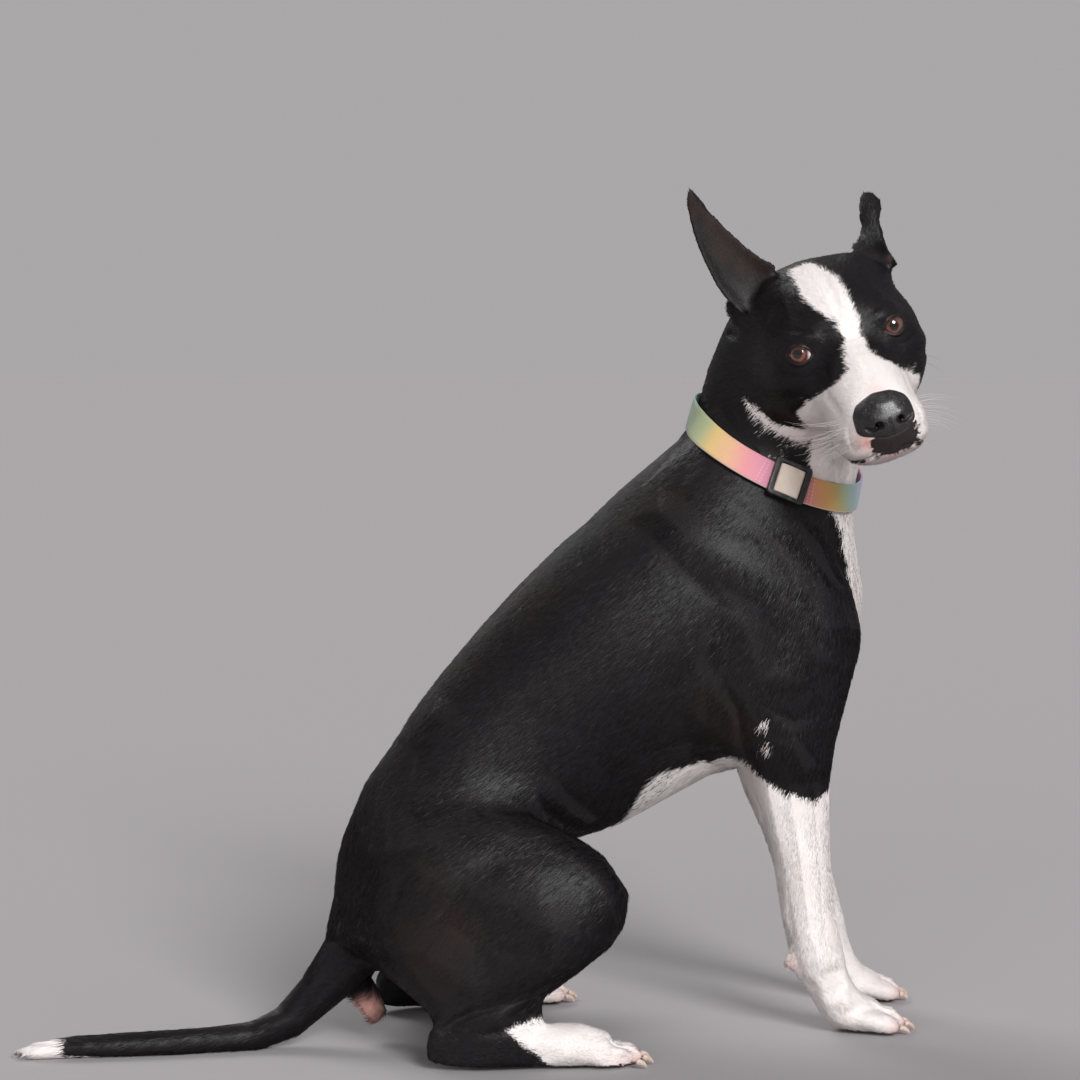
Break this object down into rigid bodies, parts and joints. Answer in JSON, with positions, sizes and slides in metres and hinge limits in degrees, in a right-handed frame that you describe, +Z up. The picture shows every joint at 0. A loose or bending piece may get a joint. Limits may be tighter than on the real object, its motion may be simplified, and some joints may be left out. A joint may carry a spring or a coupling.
{
  "type": "seated dog",
  "caption": "Life-size seated dog with a smooth black and white coat, head turned to its right, an ear raised, wearing a webbing collar. A still display figure.",
  "frame": {"origin": "centre of the base of the whole dog's bounding box, on the floor", "axes": "+X the way the trunk faces, from the tail to the forelegs; +Y the dog's left; +Z up. The head looks out along -Y."},
  "size_m": [0.8146, 0.3788, 0.7296],
  "materials": {
    "coat_black": "short smooth black hair with a soft sheen",
    "coat_white": "short smooth white hair, pink skin showing through where it is thin",
    "nose": "moist, finely pebbled black nose leather",
    "eye": "wet, clear amber-brown eye with a black pupil",
    "claw": "pale horn, lightly worn",
    "webbing": "woven webbing, pastel colours running into one another",
    "collar_plastic": "moulded black plastic",
    "collar_steel": "bright wire ring"
  },
  "bodies": {
    "root": {"skull": "coat_black", "face": "coat_black", "muzzle": "coat_white", "jaw": "coat_white", "nose": "nose", "eye_R": "eye", "eye_L": "eye", "ear_R": "coat_black", "ear_L": "coat_black", "neck": "coat_black", "chest": "coat_black", "loin": "coat_black", "rump": "coat_black", "tail_root": "coat_black", "tail_middle": "coat_black", "tail_end": "coat_white", "forearm_L": "coat_white", "forearm_R": "coat_white", "forepaw_L": "coat_white", "forepaw_R": "coat_white", "hindfoot_L": "coat_white", "hindfoot_R": "coat_white", "shank_L": "coat_black", "shank_R": "coat_black", "shoulder_L": "coat_black", "shoulder_R": "coat_black", "thigh_L": "coat_black", "thigh_R": "coat_black", "claw_fore_L1": "claw", "claw_fore_L2": "claw", "claw_fore_L3": "claw", "claw_fore_L4": "claw", "claw_fore_R1": "claw", "claw_fore_R2": "claw", "claw_fore_R3": "claw", "claw_fore_R4": "claw", "claw_hind_L1": "claw", "claw_hind_L2": "claw", "claw_hind_L3": "claw", "claw_hind_L4": "claw", "claw_hind_R1": "claw", "claw_hind_R2": "claw", "claw_hind_R3": "claw", "claw_hind_R4": "claw", "collar_buckle": "collar_plastic", "collar_ring": "collar_steel", "collar_slide": "collar_plastic", "collar_strap": "webbing", "collar_tongue": "webbing"}
  },
  "joints": []
}
